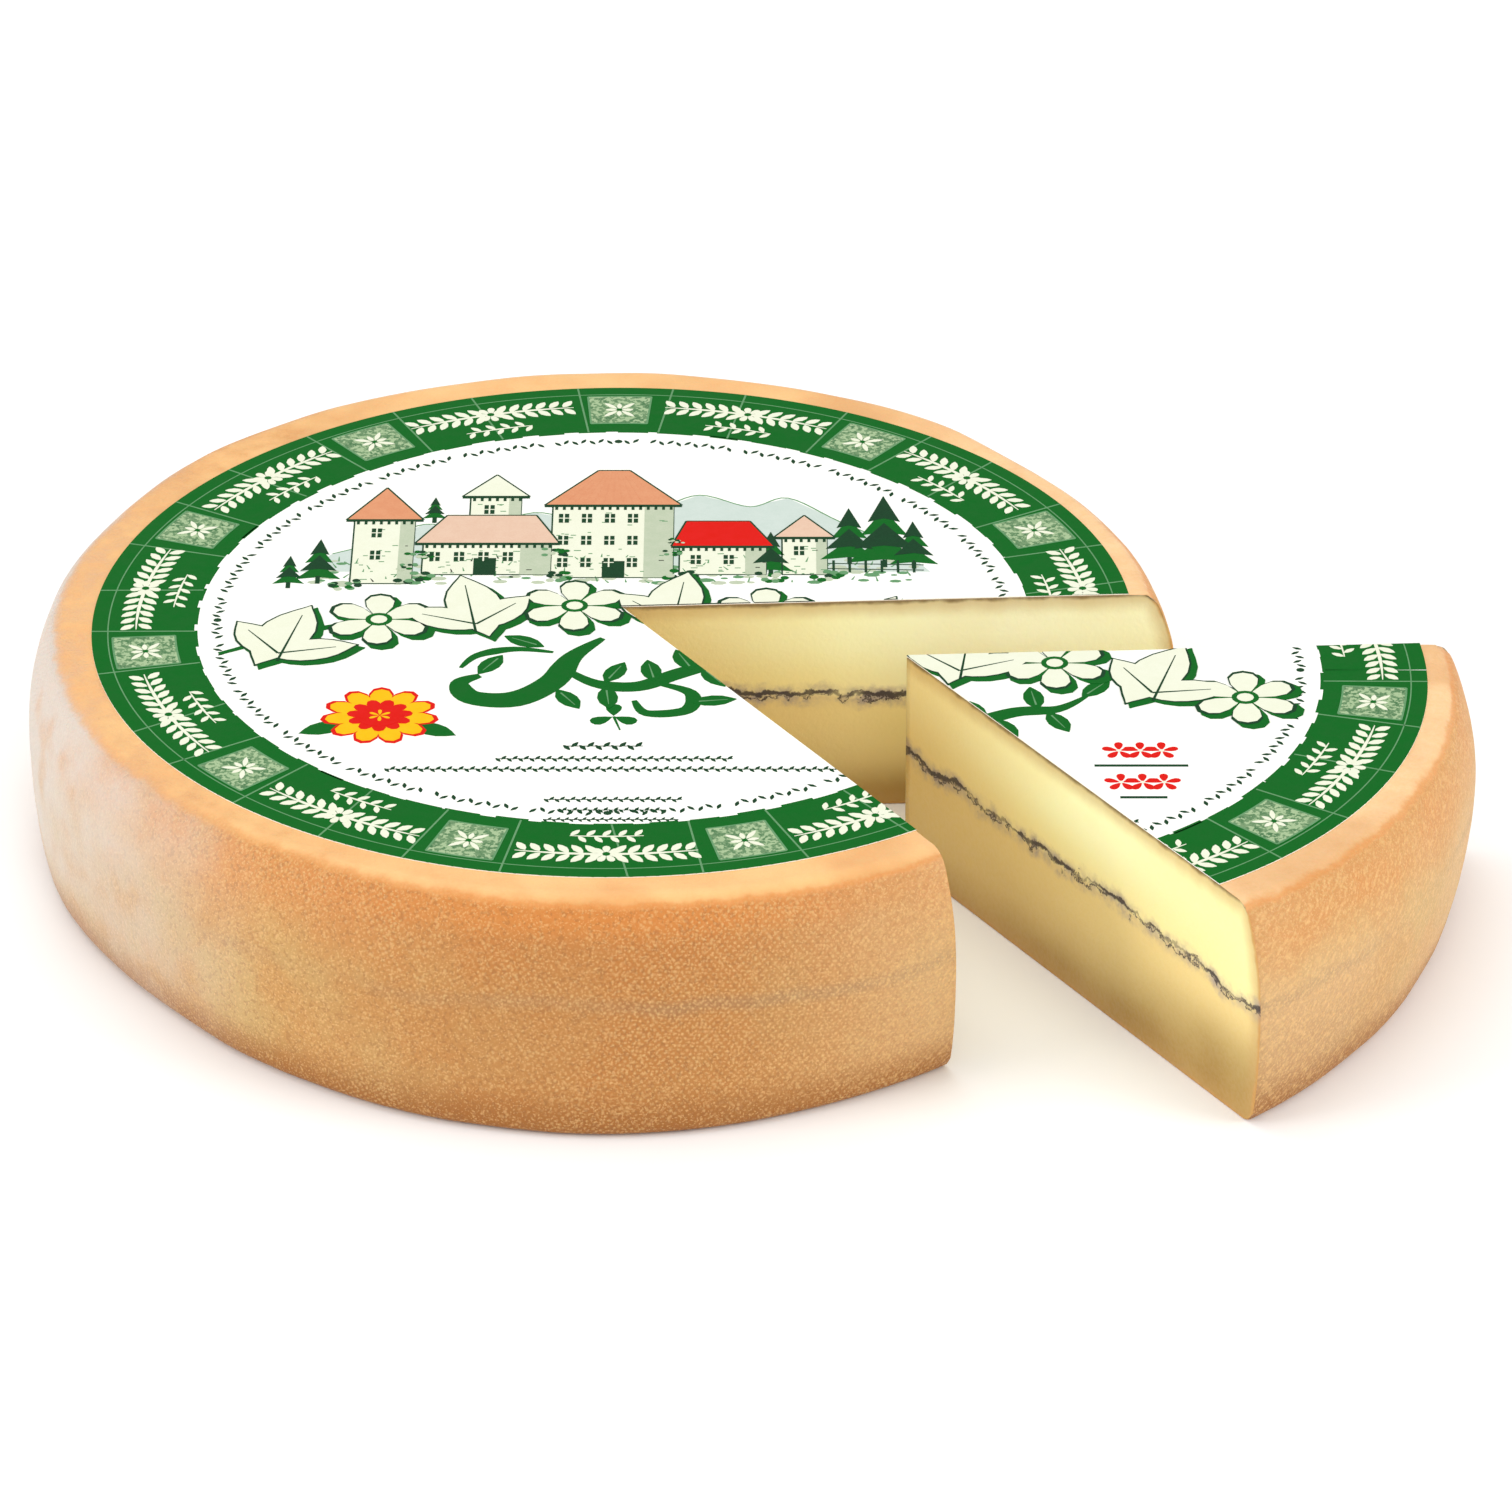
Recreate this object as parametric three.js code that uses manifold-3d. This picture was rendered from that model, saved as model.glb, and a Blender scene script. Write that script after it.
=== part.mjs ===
// A pressed cow's-milk cheese wheel with a dark ash line at mid-height, cut once: a wedge of about one
// sixth has been drawn part of the way out of its notch. Wheel and wedge stand on one flat surface.
// A thin round paper label covers the top face, and was cut through together with the cheese.
//
// Frame: millimetres, +Z up. The origin is on the wheel's own axis, on the surface it stands on.
// +X runs along the notch's far cut face, from the point of the notch out to the rind.
import * as THREE from "three";
import { mergeVertices } from "three/addons/utils/BufferGeometryUtils.js";
import Module from "manifold-3d";

const wasm = await Module();
wasm.setup();

// ---- Driving dimensions ----
const WHEEL_RADIUS = 180; // at the belly, the widest ring of the rind
const HEIGHT = 72;
// The side from the foot up to the shoulder: how far it lies inside the belly's radius, at each height.
// It bulges most below mid-height, because a young cheese settles under its own weight.
const SIDE = [
  { inset: 2.5, height: 4 },
  { inset: 0.6, height: 16 },
  { inset: 0, height: 32 },
  { inset: 2, height: 52 },
  { inset: 8, height: 67.5 },
];
const EDGE_ROUND = 4.5; // how far the flat top and bottom faces stop short of the side

const LABEL_RADIUS = 160;
const LABEL_THICKNESS = 0.3;

const NOTCH_ANGLE = THREE.MathUtils.degToRad(60.7);
const NOTCH_POINT = new THREE.Vector2(2.5, 9); // the two cuts met a little off the wheel's axis
const DRAWN_OUT = new THREE.Vector3(86, -37, 0); // how far the wedge has been moved out of the notch

const ROUND_SEGMENTS = 96;
const CURVE_STEPS = 3; // straight steps in each curved stretch of the side
const KNIFE_OVERSHOOT = 10; // how far the cuts pass above and below the cheese
const WELD_DISTANCE = 1e-3;

// ---- The wheel and its label, before they are cut ----

// Half of the wheel's cross-section, from the axis at the bottom to the axis at the top.
function cheeseOutline() {
  const side = SIDE.map(({ inset, height }) => new THREE.Vector2(WHEEL_RADIUS - inset, height));
  const foot = side[0];
  const shoulder = side[side.length - 1];
  const outline = new THREE.Path();
  outline.moveTo(0, 0);
  outline.lineTo(foot.x - EDGE_ROUND, 0);
  outline.quadraticCurveTo(foot.x, 0, foot.x, foot.y);
  outline.splineThru(side.slice(1));
  outline.quadraticCurveTo(shoulder.x, HEIGHT, shoulder.x - EDGE_ROUND, HEIGHT);
  outline.lineTo(0, HEIGHT);
  return outline.getPoints(CURVE_STEPS);
}

function uncutCheese() {
  return new THREE.LatheGeometry(cheeseOutline(), ROUND_SEGMENTS).rotateX(Math.PI / 2);
}

function uncutLabel() {
  return new THREE.CylinderGeometry(LABEL_RADIUS, LABEL_RADIUS, LABEL_THICKNESS, ROUND_SEGMENTS)
    .rotateX(Math.PI / 2)
    .translate(0, 0, HEIGHT + LABEL_THICKNESS / 2);
}

// ---- The cut ----

// The space between the two cuts: a prism from the point of the notch to well outside the rind.
function notchPrism() {
  const reach = 2 * WHEEL_RADIUS;
  const plan = new THREE.Shape([
    NOTCH_POINT,
    new THREE.Vector2(Math.cos(NOTCH_ANGLE), -Math.sin(NOTCH_ANGLE)).multiplyScalar(reach).add(NOTCH_POINT),
    new THREE.Vector2(reach, 0).add(NOTCH_POINT),
  ]);
  const depth = HEIGHT + 2 * KNIFE_OVERSHOOT;
  return new THREE.ExtrudeGeometry(plan, { depth, bevelEnabled: false })
    .translate(0, 0, -KNIFE_OVERSHOOT);
}

function solidOf(geometry) {
  const bare = geometry.clone();
  bare.deleteAttribute("normal");
  bare.deleteAttribute("uv");
  const welded = mergeVertices(bare, WELD_DISTANCE);
  const mesh = new wasm.Mesh({
    numProp: 3,
    vertProperties: welded.attributes.position.array,
    triVerts: new Uint32Array(welded.index.array),
  });
  return new wasm.Manifold(mesh);
}

function geometryOf(solid) {
  const mesh = solid.getMesh();
  return new THREE.BufferGeometry()
    .setAttribute("position", new THREE.BufferAttribute(mesh.vertProperties, 3))
    .setIndex(new THREE.BufferAttribute(mesh.triVerts, 1));
}

// Cuts one whole disc: what stays in the wheel, and what is drawn out with the wedge.
function cut(whole) {
  const disc = solidOf(whole);
  const notch = solidOf(notchPrism());
  return {
    stays: geometryOf(disc.subtract(notch)),
    drawnOut: geometryOf(disc.intersect(notch)),
  };
}

// ---- Materials ----
const cheese = new THREE.MeshStandardMaterial({ color: 0xd9a767, roughness: 0.6, metalness: 0 });
const paste = new THREE.MeshStandardMaterial({ color: 0xe6cf86, roughness: 0.5, metalness: 0 });
const paper = new THREE.MeshStandardMaterial({ color: 0xf6f6f0, roughness: 0.55, metalness: 0 });

function piece(name, geometry, material) {
  const mesh = new THREE.Mesh(geometry, material);
  mesh.name = name;
  return mesh;
}

// ---- Assembly ----
const cheeseParts = cut(uncutCheese());
const labelParts = cut(uncutLabel());

const wheelGroup = new THREE.Group();
wheelGroup.add(piece("wheel", cheeseParts.stays, cheese));
wheelGroup.add(piece("wheel_label", labelParts.stays, paper.clone()));

const wedgeGroup = new THREE.Group();
wedgeGroup.add(piece("wedge", cheeseParts.drawnOut, paste));
wedgeGroup.add(piece("wedge_label", labelParts.drawnOut, paper.clone()));
wedgeGroup.position.copy(DRAWN_OUT);

const cutCheese = new THREE.Group();
cutCheese.add(wheelGroup, wedgeGroup);

export default cutCheese;
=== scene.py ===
"""Looks for a cut cheese wheel with an ash line and a printed paper label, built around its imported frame."""

import logging
import math
import random
from collections.abc import Iterable, Sequence
from dataclasses import dataclass, field
from enum import Enum

import bmesh
import bpy
from mathutils import Matrix, Vector, noise
from mathutils.geometry import interpolate_bezier


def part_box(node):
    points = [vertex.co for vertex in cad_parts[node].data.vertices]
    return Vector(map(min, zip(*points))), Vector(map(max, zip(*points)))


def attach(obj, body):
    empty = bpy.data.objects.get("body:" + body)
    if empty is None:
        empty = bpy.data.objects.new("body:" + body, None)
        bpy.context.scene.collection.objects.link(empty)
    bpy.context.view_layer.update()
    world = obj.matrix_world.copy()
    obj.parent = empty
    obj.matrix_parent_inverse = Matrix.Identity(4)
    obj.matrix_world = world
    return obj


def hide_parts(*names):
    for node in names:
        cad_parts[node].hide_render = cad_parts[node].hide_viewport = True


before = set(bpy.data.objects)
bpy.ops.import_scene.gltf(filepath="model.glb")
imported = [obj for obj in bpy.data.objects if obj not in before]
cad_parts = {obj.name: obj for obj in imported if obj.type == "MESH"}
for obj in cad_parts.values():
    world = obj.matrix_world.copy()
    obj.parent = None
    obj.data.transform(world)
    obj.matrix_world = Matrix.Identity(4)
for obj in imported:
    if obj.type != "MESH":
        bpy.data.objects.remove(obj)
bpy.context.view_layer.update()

LOG = logging.getLogger("cheese_wheel")
MM = 0.001
UP = Vector((0.0, 0.0, 1.0))
NOTCH_POINT = Vector((2.5 * MM, 9.0 * MM, 0.0))
CUT_ANGLE = math.radians(60.7)
Colour = tuple[float, float, float, float]
Point = tuple[float, float]
Triple = tuple[float, float, float]
Socket = bpy.types.NodeSocket
Material = bpy.types.Material
Mesh = bmesh.types.BMesh


# ---------------------------------------------------------------- colours and shader nodes


def tone(red: int, green: int, blue: int) -> Colour:
    """Turns a display colour into the linear one that a shader takes.

    Args:
        red: Red, 0 to 255.
        green: Green, 0 to 255.
        blue: Blue, 0 to 255.

    Returns:
        The linear colour with an alpha of 1.
    """
    linear = []
    for channel in (red, green, blue):
        share = channel / 255
        linear.append(share / 12.92 if share <= 0.04045 else ((share + 0.055) / 1.055) ** 2.4)
    return (linear[0], linear[1], linear[2], 1.0)


class Weaver:
    """Adds and joins the nodes of one shader tree."""

    def __init__(self, tree: bpy.types.NodeTree) -> None:
        """Starts on an empty tree."""
        self.tree = tree
        tree.nodes.clear()

    def add(self, kind: str, inputs: dict | None = None, **settings: object) -> bpy.types.Node:
        """Adds one node.

        Args:
            kind: The node's Blender type.
            inputs: Socket name or number to a value, or to a socket that feeds it.
            settings: Properties of the node itself.

        Returns:
            The new node.
        """
        node = self.tree.nodes.new(kind)
        for name, value in settings.items():
            setattr(node, name, value)
        for key, value in (inputs or {}).items():
            self.feed(node.inputs[key], value)
        return node

    def feed(self, socket: Socket, value: object) -> None:
        """Links a socket's feed, or sets its value."""
        if isinstance(value, Socket):
            self.tree.links.new(value, socket)
        else:
            socket.default_value = value

    def math(self, work: str, first: object, second: object = 0.0) -> Socket:
        """Returns the result of one sum on numbers or sockets."""
        return self.add("ShaderNodeMath", {0: first, 1: second}, operation=work).outputs[0]

    def plus(self, first: object, second: object) -> Socket:
        """Returns the sum of two numbers or sockets."""
        return self.math("ADD", first, second)

    def minus(self, first: object, second: object) -> Socket:
        """Returns the first number or socket less the second."""
        return self.math("SUBTRACT", first, second)

    def most(self, first: object, second: object) -> Socket:
        """Returns the larger of two numbers or sockets."""
        return self.math("MAXIMUM", first, second)

    def unsigned(self, value: object) -> Socket:
        """Returns a number or socket without its sign."""
        return self.math("ABSOLUTE", value)

    def times(self, first: object, *others: object) -> Socket:
        """Returns the product of numbers or sockets."""
        for other in others:
            first = self.math("MULTIPLY", first, other)
        return first

    def mix(self, share: object, first: object, second: object) -> Socket:
        """Returns two colours mixed by a share of the second."""
        node = self.add("ShaderNodeMix", data_type="RGBA")
        for index, value in ((0, share), (6, first), (7, second)):
            self.feed(node.inputs[index], value)
        return node.outputs[2]

    def lay(self, under: object, over: object, *masks: object) -> Socket:
        """Returns a colour with another laid over it, as far as all the masks let it."""
        return self.mix(self.times(*masks), under, over)

    def span(self, value: object, low: float, high: float, to: Point = (0.0, 1.0)) -> Socket:
        """Returns a value eased from one span onto another, and held at its ends."""
        inputs = {"Value": value, "From Min": low, "From Max": high, "To Min": to[0], "To Max": to[1]}
        return self.add("ShaderNodeMapRange", inputs, interpolation_type="SMOOTHSTEP").outputs[0]

    def span_mm(self, value: object, low: float, high: float, to: Point = (0.0, 1.0)) -> Socket:
        """Returns a distance eased from one span, given in millimetres, onto another."""
        return self.span(value, low * MM, high * MM, to)

    def noise(self, vector: object, scale: float, detail: float = 2.0, rough: float = 0.5) -> Socket:
        """Returns cloudy noise whose lumps are about 1 / scale across."""
        inputs = {"Vector": vector, "Scale": scale, "Detail": detail, "Roughness": rough}
        return self.add("ShaderNodeTexNoise", inputs).outputs[0]

    def mapped(self, vector: object, **settings: Triple) -> Socket:
        """Returns a vector turned or stretched by a Mapping node's Rotation or Scale."""
        return self.add("ShaderNodeMapping", {"Vector": vector, **settings}).outputs[0]

    def attribute(self, name: str) -> Socket:
        """Returns a number that the piece's own points carry."""
        return self.add("ShaderNodeAttribute", attribute_name=name).outputs["Fac"]


def group_of(name: str, inputs: Sequence[str], outputs: Sequence[str]) -> tuple[Weaver, dict, dict]:
    """Starts a shader node group.

    Args:
        name: The group's name.
        inputs: Socket names; the one called Vector is a vector and the rest are numbers.
        outputs: Names of the numbers that it puts out.

    Returns:
        The group's weaver, its input sockets, and the sockets that its results feed.
    """
    tree = bpy.data.node_groups.new(name, "ShaderNodeTree")
    for label in inputs:
        kind = "NodeSocketVector" if label == "Vector" else "NodeSocketFloat"
        tree.interface.new_socket(label, in_out="INPUT", socket_type=kind)
    for label in outputs:
        tree.interface.new_socket(label, in_out="OUTPUT", socket_type="NodeSocketFloat")
    weaver = Weaver(tree)
    entry = weaver.add("NodeGroupInput")
    leave = weaver.add("NodeGroupOutput")
    return weaver, {s.name: s for s in entry.outputs}, {s.name: s for s in leave.inputs}


class Effects:
    """The shader node groups that more than one finish uses."""

    def __init__(self) -> None:
        """Builds each group once."""
        self.mottle = self._mottle()
        self.fibre = self._fibre()

    @staticmethod
    def _mottle() -> bpy.types.NodeTree:
        """Builds broad blotches and fine grain, at sizes given as lumps per metre."""
        weaver, given, result = group_of("mottle", ["Vector", "Broad", "Fine"], ["Blotch", "Grain"])
        for label, scale, detail in (("Blotch", "Broad", 3.0), ("Grain", "Fine", 2.0)):
            cloud = weaver.add("ShaderNodeTexNoise", {"Vector": given["Vector"], "Scale": given[scale]})
            cloud.inputs["Detail"].default_value = detail
            weaver.feed(result[label], weaver.span(cloud.outputs[0], 0.3, 0.7))
        return weaver.tree

    @staticmethod
    def _fibre() -> bpy.types.NodeTree:
        """Builds paper: a faint cockle where it has dried on, and the tooth of its fibres."""
        weaver, given, result = group_of("paper_fibre", ["Vector", "Cockle"], ["Shade", "Height", "Gloss"])
        cockle = weaver.noise(given["Vector"], 38.0, 1.0)
        tooth = weaver.noise(given["Vector"], 1900.0, 2.0, 0.6)
        streak = weaver.noise(given["Vector"], 240.0, 3.0, 0.6)
        height = weaver.plus(weaver.times(cockle, given["Cockle"]), weaver.times(tooth, 0.05))
        weaver.feed(result["Height"], height)
        weaver.feed(result["Shade"], weaver.span(weaver.plus(streak, tooth), 0.7, 1.3))
        weaver.feed(result["Gloss"], weaver.span(streak, 0.25, 0.75, (0.42, 0.58)))
        return weaver.tree


@dataclass
class Surface:
    """One material being made: its shader tree with a Principled shader at its end."""

    name: str
    weaver: Weaver = field(init=False)
    shader: bpy.types.Node = field(init=False)

    def __post_init__(self) -> None:
        """Makes the material and its shader."""
        self.material = bpy.data.materials.new(self.name)
        self.material.use_nodes = True
        self.weaver = Weaver(self.material.node_tree)
        self.shader = self.weaver.add("ShaderNodeBsdfPrincipled")
        end = self.weaver.add("ShaderNodeOutputMaterial")
        self.weaver.feed(end.inputs["Surface"], self.shader.outputs["BSDF"])

    def dress(self, colour: object, roughness: object, height: object, depth: float, **fixed: object) -> None:
        """Joins the finished looks to the shader.

        Args:
            colour: What feeds Base Color.
            roughness: What feeds Roughness.
            height: What feeds the bump's height, 0 to 1.
            depth: The bump's depth at a height of 1, in metres.
            fixed: Shader sockets that keep one value all over, with spaces written as underscores.
        """
        bump = self.weaver.add("ShaderNodeBump", {"Height": height, "Distance": depth, "Strength": 1.0})
        self.weaver.feed(self.shader.inputs["Base Color"], colour)
        self.weaver.feed(self.shader.inputs["Roughness"], roughness)
        self.weaver.feed(self.shader.inputs["Normal"], bump.outputs[0])
        for name, value in fixed.items():
            self.shader.inputs[name.replace("_", " ")].default_value = value

    def place(self) -> Socket:
        """Returns the point on the piece, in its own metres."""
        return self.weaver.add("ShaderNodeTexCoord").outputs["Object"]

    def effect(self, group: bpy.types.NodeTree, inputs: dict) -> dict[str, Socket]:
        """Places an effect group in this material, and returns what it puts out."""
        node = self.weaver.add("ShaderNodeGroup", node_tree=group)
        for name, value in inputs.items():
            self.weaver.feed(node.inputs[name], value)
        return {s.name: s for s in node.outputs}


# ---------------------------------------------------------------- the cheese's form


@dataclass(frozen=True)
class CheeseForm:
    """The uncut wheel's outline, in metres, about its own axis.

    Each row of uneven is a direction in degrees, and how far the brow and the foot stand out of round there,
    in millimetres.
    """

    radius: float
    height: float
    belly: float = 32 * MM
    shoulder_lean: float = 7 * MM
    shoulder_curve: float = 2.4
    shoulder_from: float = 67.5 * MM
    foot_curl: float = 2.5 * MM
    edge_round: float = 3.6 * MM
    foot_round: float = 4.2 * MM
    foot_rise: float = 4 * MM
    ash_height: float = 40 * MM
    ash_swing: float = 2.6 * MM
    low_curve: float = 1.7
    eased_over: float = 13.0
    halvings: int = 24
    uneven: tuple[Triple, ...] = (
        (0, -3.2, -8.0),
        (30, -3.0, -5.0),
        (60, 1.5, 1.0),
        (90, 4.2, 3.0),
        (130, 4.4, 3.0),
        (160, 1.8, 0.5),
        (190, 0.6, -2.0),
        (215, 0.3, -3.5),
        (235, 0.3, 2.5),
        (253, 0.3, 9.0),
        (272, 0.2, 12.0),
        (287, 0.5, 6.0),
        (301, 3.4, 1.0),
        (318, 0.6, -6.0),
        (340, -1.6, -9.5),
    )

    def side_radius(self, z: float) -> float:
        """Returns the rind's radius at a height."""
        if z >= self.belly:
            rise = (z - self.belly) / (self.shoulder_from - self.belly)
            inset = self.shoulder_lean * rise**self.shoulder_curve
        else:
            inset = self.foot_curl * ((self.belly - z) / self.belly) ** 3
        edge = (z - self.shoulder_from, self.height - self.shoulder_from, self.edge_round)
        foot = (self.foot_rise - z, self.foot_rise, self.foot_round)
        for past, reach, width in (edge, foot):
            if past > 0:
                inset += width * (1 - math.sqrt(max(0.0, 1 - (past / reach) ** 2)))
        return self.radius - inset

    def face_height(self, radius: float, top: bool) -> float:
        """Finds where the rind's rounded edge stands over a radius.

        Args:
            radius: How far from the axis, in metres.
            top: True for the top edge, False for the bottom one.

        Returns:
            The height there: the flat face's own, inside the rounding.
        """
        face = self.height if top else 0.0
        if radius <= self.side_radius(face):
            return face
        near, far = face, (self.shoulder_from if top else self.foot_rise)
        for _ in range(self.halvings):
            middle = (near + far) / 2
            if self.side_radius(middle) < radius:
                near = middle
            else:
                far = middle
        return (near + far) / 2

    def lean(self, x: float, y: float, z: float) -> float:
        """Finds how far the wheel stands out of true round, as a hand-moulded one does.

        Args:
            x: A place on or in the wheel, in metres.
            y: The same.
            z: Its height.

        Returns:
            The distance outwards, in metres, eased between the table's directions.
        """
        angle = math.degrees(math.atan2(y, x))
        total = held = 0.0
        low = (1.0 - min(max(z / self.height, 0.0), 1.0)) ** self.low_curve
        for direction, brow, foot in self.uneven:
            gap = (angle - direction + 180.0) % 360.0 - 180.0
            weight = math.exp(-((gap / self.eased_over) ** 2))
            total += weight * (brow + (foot - brow) * low)
            held += weight
        return total / held * MM

    def ash(self, x: float, y: float) -> float:
        """Returns the height of the ash line at a place in the wheel, in metres."""
        slow = noise.noise(Vector((x * 14, y * 14, 3.1)))
        quick = noise.noise(Vector((x * 55, y * 55, 8.7)))
        return self.ash_height + self.ash_swing * (1.1 * slow + 0.85 * quick)


class Share(Enum):
    """The two things that the cut makes of the wheel."""

    WHEEL = "wheel"
    WEDGE = "wedge"


@dataclass(frozen=True)
class Cut:
    """The two knife cuts, and how far the wedge has been drawn out, in metres."""

    point: Vector
    angle: float
    drawn_out: Vector

    def sweep(self, share: Share) -> tuple[float, float]:
        """Returns where a share starts round the point of the notch, and how far it turns."""
        if share is Share.WEDGE:
            return -self.angle, self.angle
        return 0.0, math.tau - self.angle

    def holds(self, place: Vector) -> bool:
        """Tells whether a place lies between the two cuts."""
        way = (place - self.point).xy
        return -self.angle < math.atan2(way.y, way.x) < 0.0

    def planes(self) -> list[Vector]:
        """Returns the two cuts' normals, level."""
        return [Vector((0.0, 1.0, 0.0)), Vector((math.sin(self.angle), math.cos(self.angle), 0.0))]

    def offset(self, share: Share) -> Vector:
        """Returns how far a share stands from where it grew."""
        return self.drawn_out if share is Share.WEDGE else Vector()


def finish_mesh(name: str, bm: Mesh, materials: Iterable[Material]) -> bpy.types.Object:
    """Makes a piece of a finished mesh and sets it on the cheese's body.

    Args:
        name: The piece's name.
        bm: Its mesh, in place, which is freed.
        materials: Its materials, in the order of the faces' material numbers.

    Returns:
        The new object.
    """
    mesh = bpy.data.meshes.new(name)
    bm.to_mesh(mesh)
    bm.free()
    for material in materials:
        mesh.materials.append(material)
    piece = bpy.data.objects.new(name, mesh)
    bpy.context.scene.collection.objects.link(piece)
    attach(piece, "root")
    LOG.info("%s: %d faces", name, len(mesh.polygons))
    return piece


@dataclass(frozen=True)
class CheeseBody:
    """Builds the cheese of the wheel and of the wedge: one grown-together body of rind and paste each.

    Each row of swells is how quickly the rind rises and falls round it and up it, a shift, and a depth in
    millimetres.
    """

    form: CheeseForm
    cut: Cut
    columns: int = 76
    rows: int = 40
    degrees_a_step: float = 1.2
    rim_spacing: tuple[float, ...] = (9.0, 7.0, 5.4, 4.2, 3.2, 2.4, 1.6, 0.8)
    rim_curve: int = 14
    brow_below: float = 1.3 * MM
    foot_above: float = 1.2 * MM
    row_crowding: float = 0.45
    swell_reach: float = 180 * MM
    swells: tuple[tuple[float, float, float, float], ...] = (
        (9, 14, 0.0, 0.75),
        (42, 40, 5.0, 0.3),
        (150, 150, 0.0, 0.08),
    )
    bare_from: float = 161 * MM
    bare_fade: float = 4 * MM
    bare_ripple: float = 0.35 * MM
    bare_drop: float = 0.15 * MM
    under_label: float = 0.02 * MM
    foot_ripple: float = 0.18 * MM
    edge_soften: float = 0.45 * MM

    def build(self, share: Share, rind: Material, paste: Material) -> bpy.types.Object:
        """Builds one share of the cheese.

        Args:
            share: Which one.
            rind: The finish of the outside.
            paste: The finish of the cut faces.

        Returns:
            The finished piece.
        """
        bm = self._swept(share)
        self._shape(bm)
        self._soften(bm)
        self._measure(bm, share)
        bmesh.ops.translate(bm, verts=bm.verts, vec=self.cut.offset(share))
        for face in bm.faces:
            face.smooth = True
        return finish_mesh(f"{share.value}_cheese", bm, (rind, paste))

    def _swept(self, share: Share) -> Mesh:
        """Sweeps a section of unit size about the point of the notch, between its two cut faces."""
        bm = bmesh.new()
        bmesh.ops.create_grid(bm, x_segments=self.columns, y_segments=self.rows, size=0.5)
        bmesh.ops.translate(bm, verts=bm.verts, vec=(0.5, 0.5, 0.0))
        bmesh.ops.rotate(bm, verts=bm.verts, cent=(0, 0, 0), matrix=Matrix.Rotation(math.pi / 2, 3, "X"))
        start, turn = self.cut.sweep(share)
        bmesh.ops.rotate(bm, verts=bm.verts, cent=(0, 0, 0), matrix=Matrix.Rotation(start, 3, "Z"))
        section = list(bm.faces)
        for face in section:
            face.material_index = 1
        rim = [e for e in bm.edges if e.is_boundary and max(v.co.xy.length for v in e.verts) > 1e-6]
        other = bmesh.ops.duplicate(bm, geom=section)["geom"]
        far_side = [g for g in other if isinstance(g, bmesh.types.BMVert)]
        bmesh.ops.rotate(bm, verts=far_side, cent=(0, 0, 0), matrix=Matrix.Rotation(turn, 3, "Z"))
        before = set(bm.faces)
        bmesh.ops.spin(
            bm,
            geom=rim + list({v for e in rim for v in e.verts}),
            cent=(0, 0, 0),
            axis=UP,
            angle=turn,
            steps=round(math.degrees(turn) / self.degrees_a_step),
        )
        for face in set(bm.faces) - before:
            face.material_index = 0
        bmesh.ops.remove_doubles(bm, verts=bm.verts, dist=1e-5)
        bmesh.ops.dissolve_degenerate(bm, edges=bm.edges, dist=1e-7)
        bmesh.ops.recalc_face_normals(bm, faces=bm.faces)
        return bm

    def _stations(self) -> tuple[list[float], list[float], list[float], list[float]]:
        """Spaces the section's columns and rows, closer together at the rind.

        Returns:
            For each column its share of the way to the rind and the heights of its bottom and top, and for
            each row its share of the way up.
        """
        form = self.form
        reach = form.side_radius(form.height - self.brow_below)
        inner = self.columns - len(self.rim_spacing)
        start = reach - self.rim_spacing[0] * MM
        radii = [start * i / inner for i in range(inner)]
        radii += [reach - gap * MM for gap in self.rim_spacing] + [reach]
        tops = [form.face_height(r, top=True) for r in radii]
        foot = form.side_radius(self.foot_above)
        bottoms = [form.face_height(r * foot / reach, top=False) for r in radii]
        even = [j / self.rows for j in range(self.rows + 1)]
        ups = [up - self.row_crowding * math.sin(math.tau * up) / math.tau for up in even]
        return [r / reach for r in radii], bottoms, tops, ups

    def _shape(self, bm: Mesh) -> None:
        """Moves the unit sweep onto the cheese's outline, with the unevenness of a cloth-pressed wheel."""
        form, point = self.form, self.cut.point.xy
        outs, bottoms, tops, ups = self._stations()
        for vert in bm.verts:
            flat = vert.co.xy
            column, row = round(flat.length * self.columns), round(vert.co.z * self.rows)
            z = bottoms[column] + (tops[column] - bottoms[column]) * ups[row]
            edge = form.side_radius(bottoms[-1] + (tops[-1] - bottoms[-1]) * ups[row])
            if column == 0:
                vert.co = Vector((point.x, point.y, z))
                continue
            way = flat.normalized()
            along = point.dot(way)
            reach = -along + math.sqrt(along**2 - point.length_squared + edge**2)
            place = point + way * reach * outs[column]
            bulge = self._swell(place, z) + form.lean(place.x, place.y, z)
            place += place.normalized() * bulge * outs[column] ** self.rim_curve
            vert.co = Vector((place.x, place.y, z + self._sag(place, z, row)))

    def _swell(self, place: Vector, z: float) -> float:
        """Returns how far the rind stands out of its true round, in metres."""
        way = place.normalized() * self.swell_reach
        total = 0.0
        for across, upright, shift, depth in self.swells:
            total += depth * noise.noise(Vector((way.x * across, way.y * across, z * upright + shift)))
        return total * MM

    def _sag(self, place: Vector, z: float, row: int) -> float:
        """Returns how far a point of the top or bottom lies off its flat, in metres."""
        if row == self.rows:
            bare = max(0.0, min(1.0, (place.length - self.bare_from) / self.bare_fade))
            ripple = noise.noise(Vector((place.x * 40, place.y * 40, 1.7)))
            return bare * (self.bare_ripple * ripple - self.bare_drop) - self.under_label
        if row == 0:
            ripple = noise.noise(Vector((place.x * 30, place.y * 30, 6.2)))
            return max(0.0, ripple) * self.foot_ripple
        return 0.0

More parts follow.
